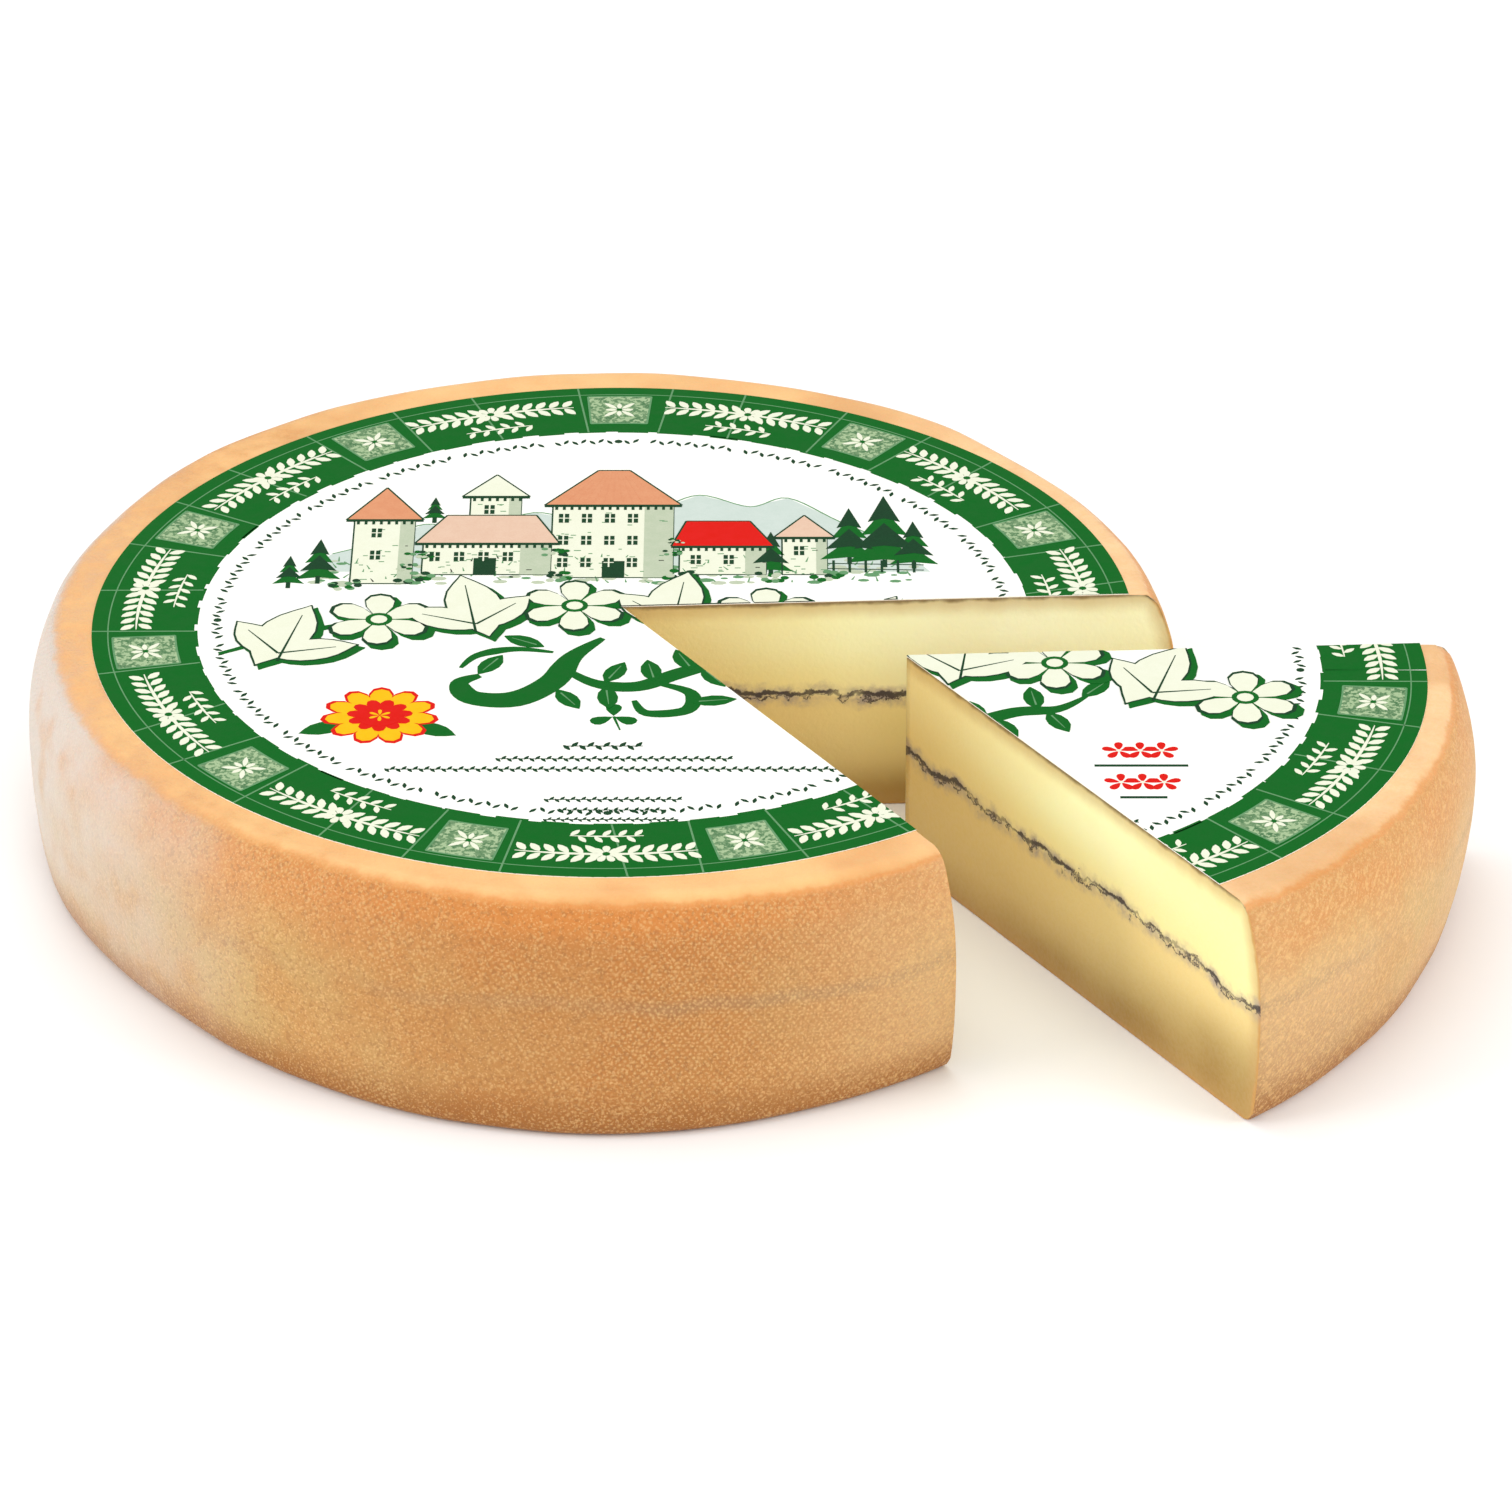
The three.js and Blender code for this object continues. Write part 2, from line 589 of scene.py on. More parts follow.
    def _soften(self, bm: Mesh) -> None:
        """Rounds the knife's edges where a cut face meets the rind, and keeps them above the floor."""
        sharp = [e for e in bm.edges if len({f.material_index for f in e.link_faces}) > 1]
        bmesh.ops.bevel(
            bm,
            geom=sharp,
            offset=self.edge_soften,
            segments=2,
            profile=0.5,
            affect="EDGES",
            material=-1,
        )
        for vert in bm.verts:
            vert.co.z = max(vert.co.z, 0.0)

    def _measure(self, bm: Mesh, share: Share) -> None:
        """Writes each point's depth under the rind, height over the ash line and distance from the axis.

        Args:
            bm: The cheese, not yet drawn out. Its points get the three in millimetres, and its faces a map.
            share: Which share of the cheese it is.
        """
        form = self.form
        depth = bm.verts.layers.float.new("rind_depth")
        over = bm.verts.layers.float.new("ash_over")
        core = bm.verts.layers.float.new("core_gap")
        chart = bm.loops.layers.uv.new("surface")
        for vert in bm.verts:
            x, y, z = vert.co
            side = form.side_radius(min(max(z, 0.0), form.height)) + form.lean(x, y, z)
            inside = min(form.height - z, z, side - vert.co.xy.length)
            vert[depth] = inside / MM
            vert[over] = (z - form.ash(x, y)) / MM
            vert[core] = vert.co.xy.length / MM
        for face in bm.faces:
            level = abs(face.normal.z) > 0.7
            for loop in face.loops:
                x, y, z = loop.vert.co
                angle = math.atan2(y, x)
                if share is Share.WHEEL and angle < -self.cut.angle / 2:
                    angle += math.tau
                loop[chart].uv = (x, y) if level else (angle * form.radius, z)


# ---------------------------------------------------------------- finishes of the cheese


@dataclass(frozen=True)
class RindSpot:
    """What the rind's layers read at a point: where it is, its mottles from broad to fine, and its brow."""

    place: tuple[Socket, Socket, Socket]
    chart: Socket
    broad: Socket
    patch: Socket
    grain: Socket
    fine: Socket
    beads: Socket
    brow: Socket


@dataclass(frozen=True)
class RindFinish:
    """Washed rind that dried in its pressing cloth: tan and orange, grained, with a smooth bright brow."""

    tan: Colour = tone(187, 144, 80)
    straw: Colour = tone(193, 157, 95)
    pale: Colour = tone(205, 165, 116)
    orange: Colour = tone(203, 136, 68)
    front_shade: Colour = tone(176, 106, 34)
    ember: Colour = tone(216, 132, 50)
    foot: Colour = tone(152, 92, 24)
    brow: Colour = tone(240, 190, 124)
    brow_highlight: Colour = tone(255, 226, 186)
    flush: Colour = tone(232, 164, 98)
    speck: Colour = tone(232, 188, 122)
    pore: Colour = tone(144, 92, 42)
    bloom_and_sheen: Colour = tone(207, 198, 189)
    ash: Colour = tone(146, 120, 90)
    cloth_pitch: float = 1.55 * MM

    def make(self, effects: Effects) -> Material:
        """Builds the material.

        Args:
            effects: The shared node groups.

        Returns:
            The rind's material.
        """
        surface = Surface("rind")
        w = surface.weaver
        place = surface.place()
        chart = w.add("ShaderNodeUVMap", uv_map="surface").outputs[0]
        coarse = surface.effect(effects.mottle, {"Vector": place, "Broad": 16.0, "Fine": 1500.0})
        patchy = surface.effect(effects.mottle, {"Vector": place, "Broad": 48.0, "Fine": 700.0})
        cells = w.add("ShaderNodeTexVoronoi", {"Vector": place, "Scale": 640.0}).outputs["Distance"]
        beads = w.times(w.span(cells, 0.5, 0.12), w.span(w.noise(place, 170.0), 0.42, 0.62))
        x, y, z = w.add("ShaderNodeSeparateXYZ", {0: place}).outputs
        brow = self._brow_mask(w, place, x, z)
        spot = RindSpot(
            place=(x, y, z),
            chart=chart,
            broad=coarse["Blotch"],
            patch=patchy["Blotch"],
            grain=patchy["Grain"],
            fine=coarse["Grain"],
            beads=beads,
            brow=brow,
        )
        threads = w.times(self._threads(w, chart), w.span(spot.broad, 0.1, 0.9))
        cloth = w.times(threads, w.span_mm(x, 130, 0, (0.45, 1.0)), w.minus(1.0, brow))

        colour = self._ground(w, spot)
        colour = self._grained(w, spot, colour, cloth)
        colour = self._browed(w, spot, colour)
        height = w.plus(w.plus(w.times(cloth, 0.55), w.times(spot.grain, 0.5)), w.times(beads, 0.4))
        height = w.times(height, w.span(brow, 0.0, 1.0, (1.0, 0.4)))
        rough = w.span(w.plus(spot.fine, brow), 0.0, 1.6, (0.62, 0.4))
        surface.dress(colour, rough, height, 0.28 * MM, Subsurface_Weight=0.08, Subsurface_Scale=2 * MM)
        return surface.material

    @staticmethod
    def _brow_mask(w: Weaver, place: Socket, x: Socket, z: Socket) -> Socket:
        """Returns where the smooth brow is: ragged below, and narrower at the wheel's left and the wedge."""
        ragged = w.times(w.noise(place, 130.0, 4.0, 0.62), 2.8 * MM)
        ragged = w.minus(ragged, w.span_mm(x, 0, -130, (0.0, 2.0 * MM)))
        ragged = w.minus(ragged, w.span_mm(x, 40, 140, (0.0, 1.3 * MM)))
        return w.span_mm(w.plus(z, ragged), 68.9, 72.6)

    def _ground(self, w: Weaver, spot: RindSpot) -> Socket:
        """Returns the rind's broad colours, warm above, with painted shade at the foot, across the front's
        middle and low on the wedge's end, painted light on the right front, and the ash showing through.
        """
        x, y, z = spot.place
        colour = w.mix(spot.patch, self.tan, self.straw)
        warm = w.plus(w.times(w.span_mm(z, 38, 66), 0.75), w.times(w.span(spot.patch, 0.9, 0.2), 0.25))
        colour = w.mix(warm, colour, self.orange)
        # Painted light: the right front of the rind is laid paler in mottled patches, less so near the brow.
        light = w.times(w.span_mm(x, 20, 95), w.span_mm(y, -20, -90), w.span(spot.broad, -0.4, 0.8))
        not_top = w.most(w.span_mm(z, 66, 34, (0.2, 1.0)), w.span_mm(x, 125, 95))
        colour = w.lay(colour, self.pale, light, not_top, 0.8)
        # Painted shade: the middle of the wheel's front, out of the side lamps' reach, is laid darker.
        across = w.unsigned(w.plus(x, 8 * MM))
        colour = w.lay(colour, self.front_shade, w.span_mm(across, 128, 12), 0.72, w.span_mm(y, -100, -150))
        # Painted shade: the rind is laid darker towards the foot.
        colour = w.lay(colour, self.foot, w.span_mm(z, 18, 2), 0.92)
        # Painted shade: the wedge's outer end is laid darker towards its foot.
        wedge_end = w.times(w.span_mm(x, 120, 160), w.span_mm(y, -125, -180))
        colour = w.lay(colour, self.pore, wedge_end, w.span_mm(z, 50, 6), 0.4)
        ember = w.times(w.span_mm(z, 57, 66), w.span_mm(x, 110, 10), w.span_mm(y, -60, -140))
        colour = w.lay(colour, self.ember, ember, w.span_mm(x, -125, -25), 0.55)
        from_ash = w.unsigned(w.minus(w.attribute("ash_over"), 0.8))
        return w.lay(colour, self.ash, w.span(from_ash, 3.8, 0.2), w.times(spot.broad, 0.36))

    def _grained(self, w: Weaver, spot: RindSpot, colour: Socket, cloth: Socket) -> Socket:
        """Returns the rind's colour with its threads, pores, specks, slanting streaks, and white mould partly
        painted as a sheen on the left.
        """
        x, _, z = spot.place
        side = w.minus(1.0, spot.brow)
        colour = w.lay(colour, self.speck, cloth, 0.4)
        pores = w.times(w.span(spot.grain, 0.34, 0.08), side)
        colour = w.lay(colour, self.pore, pores, w.span_mm(x, 120, 0, (0.08, 0.34)))
        specks = w.most(w.span(spot.fine, 0.7, 1.0), spot.beads)
        colour = w.lay(colour, self.speck, specks, side, 0.42)
        turned = w.mapped(spot.chart, Rotation=(0.0, 0.0, 0.9))
        drawn = w.mapped(turned, Scale=(1.0, 0.42, 1.0))
        streaks = w.times(w.span(w.noise(drawn, 760.0, 3.0), 0.48, 0.66), w.span_mm(x, 0, 130))
        colour = w.lay(colour, self.speck, streaks, side, 0.36)
        # Partly the rind's white mould and partly painted sheen: the wheel's far left is laid pale and
        # greyish, most on its lower side.
        bloom_sheen_veil = w.times(w.span_mm(x, -104, -168), w.span(spot.broad, -0.7, 0.7))
        bloom_sheen_veil = w.times(bloom_sheen_veil, w.span(spot.patch, -0.8, 0.6), w.span_mm(z, 2, 26, (0.35, 0.85)))
        return w.lay(colour, self.bloom_and_sheen, bloom_sheen_veil, side)

    def _browed(self, w: Weaver, spot: RindSpot, colour: Socket) -> Socket:
        """Returns the rind's colour with its bright brow, a painted highlight towards the right, and the
        orange ridge along the brow's foot.
        """
        x = spot.place[0]
        smooth = w.lay(self.brow, self.flush, spot.patch, 0.7)
        # Painted highlight: the brow is laid paler towards the right and on the wedge.
        smooth = w.mix(w.span_mm(x, 60, 150, (0.0, 0.4)), smooth, self.brow_highlight)
        smooth = w.lay(smooth, self.speck, w.most(spot.grain, spot.beads), 0.35)
        colour = w.lay(colour, smooth, spot.brow, w.span(spot.broad, -0.6, 0.5))
        ridge = w.span(w.unsigned(w.minus(spot.brow, 0.4)), 0.4, 0.05)
        return w.lay(colour, self.ember, ridge, w.span_mm(x, -150, 20, (0.12, 0.42)))

    def _threads(self, w: Weaver, chart: Socket) -> Socket:
        """Returns the press cloth's slanting threads, 0 to 1."""
        bands = []
        for turn, stretch in ((56.0, 1.0), (-34.0, 1.15)):
            inputs = {
                "Vector": w.mapped(chart, Rotation=(0.0, 0.0, math.radians(turn))),
                "Scale": math.tau / 20 / (self.cloth_pitch * stretch),
                "Distortion": 2.4,
                "Detail": 2.0,
                "Detail Scale": 0.3,
            }
            bands.append(w.add("ShaderNodeTexWave", inputs, wave_type="BANDS").outputs["Fac"])
        return w.span(w.times(*bands), 0.2, 0.85)


@dataclass(frozen=True)
class PasteFinish:
    """The cut faces: close ivory paste, golden towards the rind, golden and darker towards the foot in painted
    shade, with the ash line across it.
    """

    ivory: Colour = tone(255, 254, 198)
    cream: Colour = tone(255, 255, 228)
    butter: Colour = tone(254, 240, 168)
    gold: Colour = tone(238, 212, 140)
    straw: Colour = tone(166, 133, 62)
    foot: Colour = tone(156, 110, 10)
    core: Colour = tone(222, 190, 118)
    under_rind: Colour = tone(190, 150, 84)
    side_rind: Colour = tone(196, 144, 72)
    top_rind: Colour = tone(108, 82, 36)
    soot: Colour = tone(52, 42, 42)
    smoke: Colour = tone(158, 142, 136)

    def make(self, effects: Effects) -> Material:
        """Builds the material.

        Args:
            effects: The shared node groups.

        Returns:
            The paste's material.
        """
        surface = Surface("paste")
        w = surface.weaver
        place = surface.place()
        curd = surface.effect(effects.mottle, {"Vector": place, "Broad": 30.0, "Fine": 700.0})
        over = w.attribute("ash_over")
        colour = self._ground(w, place, over, curd["Blotch"])
        colour = self._edged(w, place, colour)
        colour, soot = self._ashed(w, place, over, colour)

        knife = w.mapped(place, Scale=(18.0, 18.0, 420.0))
        height = w.plus(w.times(w.noise(knife, 1.0), 0.35), w.times(curd["Grain"], 0.25))
        height = w.minus(height, w.times(soot, 0.6))
        rough = w.span(w.plus(curd["Grain"], soot), 0.0, 1.4, (0.38, 0.62))
        glow = {
            "Subsurface_Weight": 0.18,
            "Subsurface_Radius": (1.0, 0.62, 0.28),
            "Subsurface_Scale": 3.5 * MM,
        }
        surface.dress(colour, rough, height, 0.16 * MM, **glow)
        return surface.material

    def _ground(self, w: Weaver, place: Socket, over: Socket, blotch: Socket) -> Socket:
        """Returns the paste's broad colours, on the wedge's near face and in the notch's far one, with painted
        light above and painted shade below and round the apex.
        """
        _, y, z = w.add("ShaderNodeSeparateXYZ", {0: place}).outputs
        core = w.attribute("core_gap")
        outer = w.times(w.span_mm(y, 0, -20), w.span(core, 90.0, 165.0))
        below = w.span(over, 0.8, -2.6)
        # Painted light: the upper curd is laid paler towards the top.
        colour = w.mix(w.span_mm(z, 42, 60), self.butter, self.ivory)
        colour = w.lay(colour, self.butter, outer, 0.7)
        # Painted shade: below the ash line the curd is laid golden, turning to straw towards the foot.
        low = w.mix(w.span_mm(z, 34, -2), self.gold, self.straw)
        colour = w.mix(below, colour, low)
        # Painted shade: the paste is laid darker and warmer towards the notch's apex, where the two cut faces
        # close in.
        colour = w.lay(colour, self.core, w.span(core, 105.0, -10.0), 0.8)
        # Painted light: the notch's far cut face is laid paler, away from its apex and foot.
        far_face_light = w.times(w.span_mm(y, -20, 5), w.span(core, 55.0, 125.0), w.span_mm(z, 4, 26))
        pale = w.mix(below, self.cream, self.butter)
        colour = w.lay(colour, pale, far_face_light, w.span(over, 0.8, -2.6, (0.6, 0.92)))
        # Painted shade: on the near cut faces, away from the apex, the paste is laid darker low down.
        colour = w.lay(colour, self.straw, outer, w.span_mm(z, 40, 8))
        # Painted shade: the paste is laid darker still at the very foot.
        colour = w.mix(w.span_mm(z, 17, 2, (0.0, 0.46)), colour, self.foot)
        return w.lay(colour, self.gold, blotch, 0.16)

    def _edged(self, w: Weaver, place: Socket, colour: Socket) -> Socket:
        """Returns the paste's colour with its darker edge, and the thin line of rind round it."""
        z = w.add("ShaderNodeSeparateXYZ", {0: place}).outputs["Z"]
        depth = w.plus(w.attribute("rind_depth"), w.times(w.noise(place, 160.0, 3.0), 2.2))
        colour = w.lay(colour, self.under_rind, w.span(depth, 8.5, 2.0), 0.55)
        rind = w.mix(w.span_mm(z, 68.5, 71.2), self.side_rind, self.top_rind)
        return w.lay(colour, rind, w.span(depth, 2.8, 1.3), 0.85)

    def _ashed(self, w: Weaver, place: Socket, over: Socket, colour: Socket) -> tuple[Socket, Socket]:
        """Returns the colour with the ash line across it, and where its soot is: a thread and its wisps."""
        ragged = w.times(w.minus(w.noise(place, 130.0, 5.0, 0.66), 0.5), 8.5)
        line = w.plus(over, ragged)
        weight = w.span(w.noise(place, 75.0, 3.0), 0.36, 0.66)
        smoke = w.span(w.unsigned(w.plus(line, 0.7)), 5.0, 0.6)
        smoke = w.times(smoke, w.span(w.noise(place, 190.0, 4.0, 0.6), 0.34, 0.62, (0.25, 1.0)))
        colour = w.lay(colour, self.smoke, smoke, w.span(weight, 0.0, 1.0, (0.5, 0.95)))
        near = w.minus(w.unsigned(line), w.times(weight, 0.5))
        thread = w.times(w.span(near, 0.75, 0.1), w.span(weight, 0.0, 0.7, (0.55, 1.0)))
        stray = w.times(w.minus(w.noise(place, 170.0, 5.0, 0.7), 0.42), 12.0)
        wisp = w.span(w.unsigned(w.plus(line, stray)), 0.7, 0.1)
        soot = w.most(thread, w.times(wisp, w.span(smoke, 0.05, 0.5)))
        return w.lay(colour, self.soot, soot, 0.92), soot


# ---------------------------------------------------------------- the label's print


class Ink(Enum):
    """The colours that the label is printed in."""

    GREEN = "green"
    MOSS = "moss"
    LEAF = "pale_green"
    HAZE = "haze"
    CREAM = "cream"
    SKY = "pale_blue"
    PINK = "pink"
    SALMON = "salmon"
    RED = "red"
    YELLOW = "yellow"
    TILE = "tile"


class Mould(Enum):
    """What a stamped circle is pressed into."""

    ROUND = "round"
    LEAF = "leaf"
    PETAL = "petal"


@dataclass(frozen=True)
class InkFinish:
    """A flat printing ink with the paper's tooth under it."""

    colour: Colour
    worn: Colour
    grain: float = 0.0

    def make(self, name: str, effects: Effects) -> Material:
        """Builds the ink's material.

        Args:
            name: The material's name.
            effects: The shared node groups.

        Returns:
            The material.
        """
        surface = Surface(name)
        w = surface.weaver
        place = surface.place()
        paper = surface.effect(effects.fibre, {"Vector": place, "Cockle": 1.0})
        colour = w.lay(self.colour, self.worn, paper["Shade"], 0.45)
        if self.grain:
            fleck = w.span(w.noise(place, self.grain, 2.0, 0.6), 0.47, 0.55)
            colour = w.mix(fleck, colour, self.worn)
        surface.dress(colour, paper["Gloss"], paper["Height"], 0.12 * MM, Specular_IOR_Level=0.06)
        return surface.material


INKS = {
    Ink.GREEN: InkFinish(tone(0, 94, 22), tone(2, 102, 30)),
    Ink.MOSS: InkFinish(tone(10, 56, 28), tone(30, 74, 44)),
    Ink.LEAF: InkFinish(tone(92, 142, 96), tone(116, 160, 118)),
    Ink.HAZE: InkFinish(tone(188, 197, 172), tone(168, 184, 154)),
    Ink.CREAM: InkFinish(tone(230, 232, 211), tone(221, 224, 198)),
    Ink.SKY: InkFinish(tone(200, 212, 204), tone(186, 202, 192)),
    Ink.PINK: InkFinish(tone(222, 190, 166), tone(212, 174, 150)),
    Ink.SALMON: InkFinish(tone(216, 150, 110), tone(204, 130, 94)),
    Ink.RED: InkFinish(tone(214, 14, 4), tone(208, 26, 8)),
    Ink.YELLOW: InkFinish(tone(238, 186, 6), tone(232, 170, 8)),
    Ink.TILE: InkFinish(tone(66, 112, 70), tone(160, 184, 142), 700.0),
}


@dataclass
class PrintSheet:
    """The print before it is cut: flat shapes in millimetres, in one mesh for each ink and level."""

    plates: dict = field(default_factory=dict)
    shapes: int = 0
    stagger: float = 0.002
    stagger_count: int = 12

    def plate(self, ink: Ink, level: int) -> Mesh:
        """Returns the mesh that an ink's shapes at a level go into."""
        key = (ink, level)
        if key not in self.plates:
            self.plates[key] = bmesh.new()
        return self.plates[key]

    def _lay(self, verts: Iterable[bmesh.types.BMVert]) -> None:
        """Lifts a shape a hair, so that shapes which overlap in one plate never share a plane."""
        self.shapes += 1
        for vert in verts:
            vert.co.z = (self.shapes % self.stagger_count) * self.stagger

    def stamp(
        self,
        ink: Ink,
        level: int,
        at: Point,
        size: Point,
        turn: float = 0.0,
        mould: Mould = Mould.ROUND,
        sides: int = 16,
    ) -> None:
        """Prints one shape pressed from a circle.

        Args:
            ink: Its colour.
            level: How many inks lie under it.
            at: Its middle.
            size: Its length and width.
            turn: The way its length points, in degrees from +X.
            mould: What it is pressed into.
            sides: How many corners it has; 4 makes a lozenge.
        """
        bm = self.plate(ink, level)
        verts = bmesh.ops.create_circle(bm, cap_ends=True, segments=sides, radius=0.5)["verts"]
        for vert in verts:
            along = vert.co.x * 2
            if mould is Mould.LEAF:
                vert.co.y *= 1 - abs(along) ** 3 * 0.9
            elif mould is Mould.PETAL:
                vert.co.y *= ((along + 1) / 2) ** 0.6 if along > -1 else 0.0
        bmesh.ops.scale(bm, verts=verts, vec=(size[0], size[1], 1))
        bmesh.ops.rotate(bm, verts=verts, cent=(0, 0, 0), matrix=Matrix.Rotation(math.radians(turn), 3, "Z"))
        bmesh.ops.translate(bm, verts=verts, vec=(at[0], at[1], 0))
        self._lay(verts)

    def panel(self, ink: Ink, level: int, corners: Sequence[Point], line: float = 0.0) -> None:
        """Prints a straight-sided shape, outlined in the dark ink where a line width is given."""
        bm = self.plate(ink, level)
        verts = [bm.verts.new((x, y, 0)) for x, y in corners]
        bm.faces.new(verts)
        self._lay(verts)
        if line:
            for index, corner in enumerate(corners):
                self.stroke(Ink.MOSS, level + 1, [corner, corners[index - 1]], line)

    def block(self, ink: Ink, level: int, low: Point, high: Point, line: float = 0.0) -> None:
        """Prints an upright rectangle between its lower left and upper right corners."""
        (left, bottom), (right, top) = low, high
        self.panel(ink, level, [(left, bottom), (right, bottom), (right, top), (left, top)], line)

    def stroke(
        self, ink: Ink, level: int, path: Sequence[Point], *widths: float, smooth: bool = False
    ) -> None:
        """Prints a line along a path.

        Args:
            ink: Its colour.
            level: How many inks lie under it.
            path: The points that it follows.
            widths: One width, or widths spread evenly from its start to its end.
            smooth: True to round it through its points.
        """
        track = [Vector((x, y, 0)) for x, y in path]
        if smooth:
            track = self._rounded(track)
        steps = len(track) - 1
        bm = self.plate(ink, level)
        verts = bmesh.ops.create_grid(bm, x_segments=steps, y_segments=1, size=0.5)["verts"]
        for vert in verts:
            index = round((vert.co.x + 0.5) * steps)
            ahead = (track[min(index + 1, steps)] - track[max(index - 1, 0)]).normalized()
            vert.co = track[index] + UP.cross(ahead) * self._width(widths, index / steps) * vert.co.y
        self._lay(verts)

    @staticmethod
    def _width(widths: Sequence[float], share: float) -> float:
        """Returns the width at a share of the way along."""
        if len(widths) == 1:
            return widths[0]
        spot = share * (len(widths) - 1)
        index = min(int(spot), len(widths) - 2)
        return widths[index] + (widths[index + 1] - widths[index]) * (spot - index)

    @staticmethod
    def _rounded(track: Sequence[Vector]) -> list[Vector]:
        """Returns a smooth track through the given one."""
        made = [track[0]]
        for index in range(len(track) - 1):
            start, end = track[index], track[index + 1]
            before = track[index - 1] if index else start
            after = track[index + 2] if index + 2 < len(track) else end
            bend = interpolate_bezier(start, start + (end - before) / 6, end - (after - start) / 6, end, 7)
            made += bend[1:]
        return made


@dataclass
class LabelArt:
    """Draws the round label: a walled green border, a farm under hills, a swag of leaves and a sprig.

    Places and sizes are in millimetres from the label's middle, with +Y away from the reader.
    """

    edge: float
    sheet: PrintSheet = field(default_factory=PrintSheet)
    border: float = 128.5
    course: float = 155.0
    tile_ring: float = 144.0
    tile_reach: float = 9.6
    garland_ring: float = 146.4
    spray_ring: float = 135.8
    bead_ring: float = 121.6
    bead_count: int = 276
    bead_gap: int = 11
    ring_steps: int = 264
    blocks: int = 11
    seed: int = 4

    def draw(self) -> PrintSheet:
        """Draws everything, and returns the sheet."""
        self._border()
        for index in range(self.blocks):
            middle = 90.0 - index * 360.0 / self.blocks
            self._tile(middle)
            self._garland(middle - 180.0 / self.blocks)
        self._beads()
        self._hills()
        self._farm()
        self._firs()
        self._swag()
        self._sprig()
        self._marigold((-69.5, -61.5))
        self._clover((1.0, -62.0), 5.0)
        self._rules()
        self._florets()
        return self.sheet

    @staticmethod
    def around(radius: float, degrees: float) -> Point:
        """Returns the point at a radius and an angle from +X."""
        angle = math.radians(degrees)
        return radius * math.cos(angle), radius * math.sin(angle)

    def arc(self, radius: float, start: float, end: float, steps: int) -> list[Point]:
        """Returns points along an arc between two angles, in degrees."""
        return [self.around(radius, start + (end - start) * i / steps) for i in range(steps + 1)]

    def _border(self) -> None:
        """Prints the green border, its stepped inner edge, and the joints of its blocks."""
        sheet, draws = self.sheet, random.Random(self.seed)
        middle = (self.border + self.edge) / 2
        sheet.stroke(Ink.GREEN, 0, self.arc(middle, 0.0, 360.0, self.ring_steps), self.edge - self.border)
        count = self.blocks * 5
        for index in range(count):
            start = index * 360.0 / count + draws.uniform(-1.0, 1.0)
            step = draws.uniform(0.2, 1.0)
            path = self.arc(self.border - step / 2 + 0.3, start, start + draws.uniform(3.6, 5.4), 4)
            sheet.stroke(Ink.GREEN, 0, path, step + 0.6)
        for index in range(self.blocks):
            tile = 90.0 - index * 360.0 / self.blocks
            for side in (-4.9, 4.9, 16.4):
                joint = tile + side + draws.uniform(-0.8, 0.8)
                far = joint + side * draws.uniform(0.04, 0.12)
                ends = [self.around(self.border, joint), self.around(self.edge, far)]
                sheet.stroke(Ink.LEAF, 1, ends, 0.6)
        sheet.stroke(Ink.LEAF, 1, self.arc(self.course, 0.0, 360.0, self.ring_steps), 0.4)

    def _tile(self, middle: float) -> None:
        """Prints one speckled tile of the border with an eight-leaf rosette on it."""
        sheet, radius, reach = self.sheet, self.tile_ring, self.tile_reach
        half = math.degrees(reach / radius)
        sheet.stroke(Ink.TILE, 2, self.arc(radius, middle - half, middle + half, 6), 2 * reach)
        for radial in (radius - reach, radius + reach):
            sheet.stroke(Ink.LEAF, 3, self.arc(radial, middle - half, middle + half, 6), 0.6)
        for side in (-half, half):
            ends = [self.around(radius - reach, middle + side), self.around(radius + reach, middle + side)]
            sheet.stroke(Ink.LEAF, 3, ends, 0.6)
        x, y = self.around(radius, middle)
        for turn in range(0, 360, 45):
            way = math.radians(middle + turn)
            long = 3.9 if turn % 90 else 2.6
            at = (x + long * math.cos(way), y + long * math.sin(way))
            sheet.stamp(Ink.CREAM, 4, at, (long * 1.5, 1.7), middle + turn, Mould.LEAF, 10)
        sheet.stamp(Ink.GREEN, 5, (x, y), (1.8, 1.8), sides=8)

    def _garland(self, middle: float) -> None:
        """Prints a leafy garland along a block of the border: a flower at its middle, a spray inside it."""
        sheet, radius = self.sheet, self.garland_ring
        bough = self.arc(radius, middle - 10.6, middle + 10.6, 16)
        sheet.stroke(Ink.CREAM, 2, bough, 0.3, 1.1, 1.1, 1.1, 0.3)
        for index in (*range(-6, 0), *range(1, 7)):
            spot = middle + index * 1.66
            lean = 52.0 if index > 0 else 128.0
            for side in (1, -1):
                at = self.around(radius + side * 2.7, spot + side * 0.08)
                turn = spot - 90.0 + side * (180.0 - lean)
                sheet.stamp(Ink.CREAM, 2, at, (6.6 - 0.2 * abs(index), 2.7), turn, Mould.LEAF, 10)
        self._flower(Ink.CREAM, 3, self.around(radius, middle), 7, (4.6, 3.2))
        sheet.stamp(Ink.GREEN, 4, self.around(radius, middle), (2.4, 2.4), sides=8)
        sheet.stroke(Ink.CREAM, 2, self.arc(self.spray_ring, middle - 4.6, middle + 4.6, 10), 0.3, 0.8, 0.3)
        for index in range(-4, 5):
            side = 1 if index % 2 else -1
            at = self.around(self.spray_ring + side * 1.9, middle + index)
            sheet.stamp(Ink.CREAM, 2, at, (4.4, 1.9), middle + index + side * 35.0, Mould.LEAF, 10)

